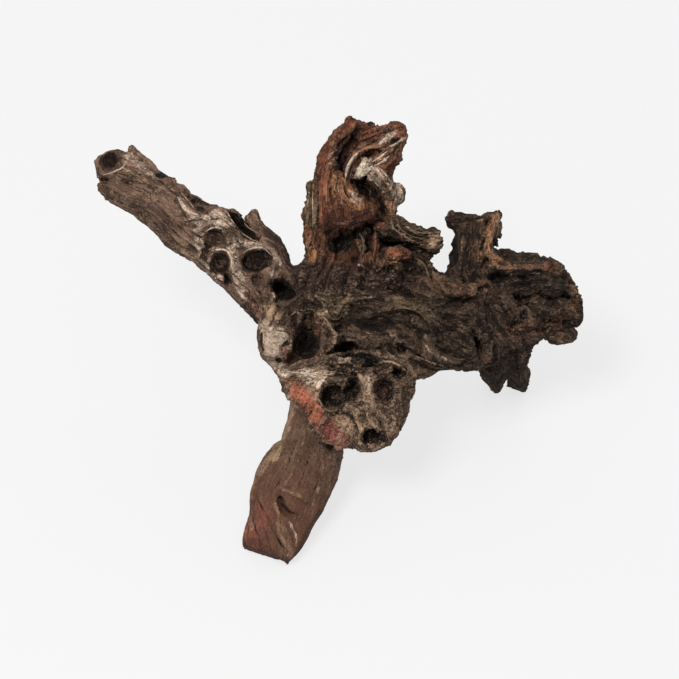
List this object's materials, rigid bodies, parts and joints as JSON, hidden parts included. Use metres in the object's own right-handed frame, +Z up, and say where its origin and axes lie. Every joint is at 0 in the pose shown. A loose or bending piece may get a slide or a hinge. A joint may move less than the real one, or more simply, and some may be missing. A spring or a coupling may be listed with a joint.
{
  "type": "driftwood",
  "caption": "Weathered root driftwood: gnarled dark trunk with a long hollow arm, torn hood, short stub and pale burl with round holes, standing on its own roots.",
  "frame": {"origin": "middle of the footprint, on the floor the feet stand on", "axes": "+Z up, +X to the right along the trunk as the picture shows it, +Y away from the viewer"},
  "size_m": [0.3085, 0.2493, 0.1777],
  "materials": {
    "wood": "matt weathered wood, dark bark on the trunk and paler knots"
  },
  "bodies": {
    "root": {"driftwood": "wood"}
  },
  "joints": []
}
